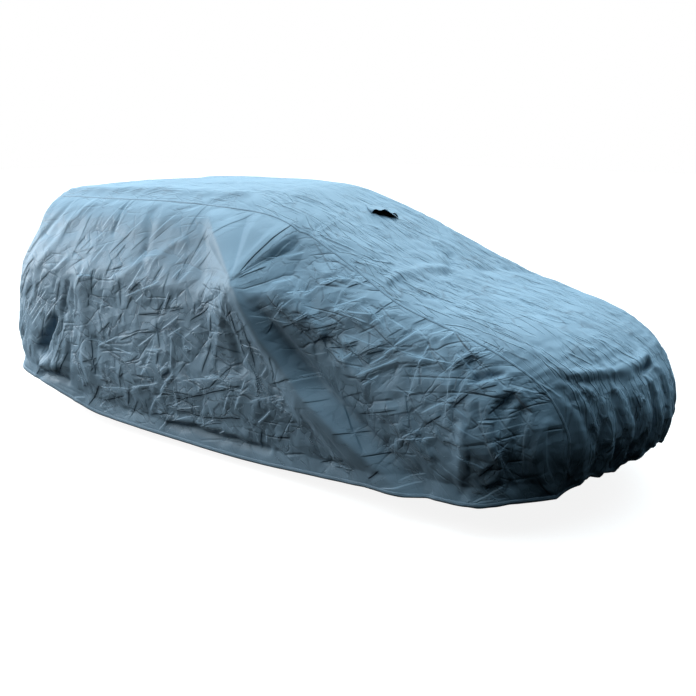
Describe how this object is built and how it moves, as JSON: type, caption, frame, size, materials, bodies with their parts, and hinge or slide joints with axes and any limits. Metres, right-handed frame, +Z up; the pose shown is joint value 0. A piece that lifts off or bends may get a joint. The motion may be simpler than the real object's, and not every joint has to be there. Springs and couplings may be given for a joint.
{
  "type": "estate car cover",
  "caption": "Fitted cloth cover for an estate car, hanging in folds: a long centre panel, side panels, gathered hems and a small hooded vent.",
  "frame": {"origin": "underside of the cloth at the roof on the centre line, where the cover rests on what it covers", "axes": "+X towards the front of the covered car, +Y to its left, +Z up"},
  "size_m": [4.6442, 2.0705, 1.5134],
  "materials": {
    "panel_cloth": "coated nylon taffeta, dull with a soft sheen, creased",
    "vent_cloth": "the same coated cloth, doubled, dark inside"
  },
  "bodies": {
    "root": {"centre_panel": "panel_cloth", "side_panel_right": "panel_cloth", "side_panel_left": "panel_cloth", "vent_hood": "vent_cloth"}
  },
  "joints": []
}
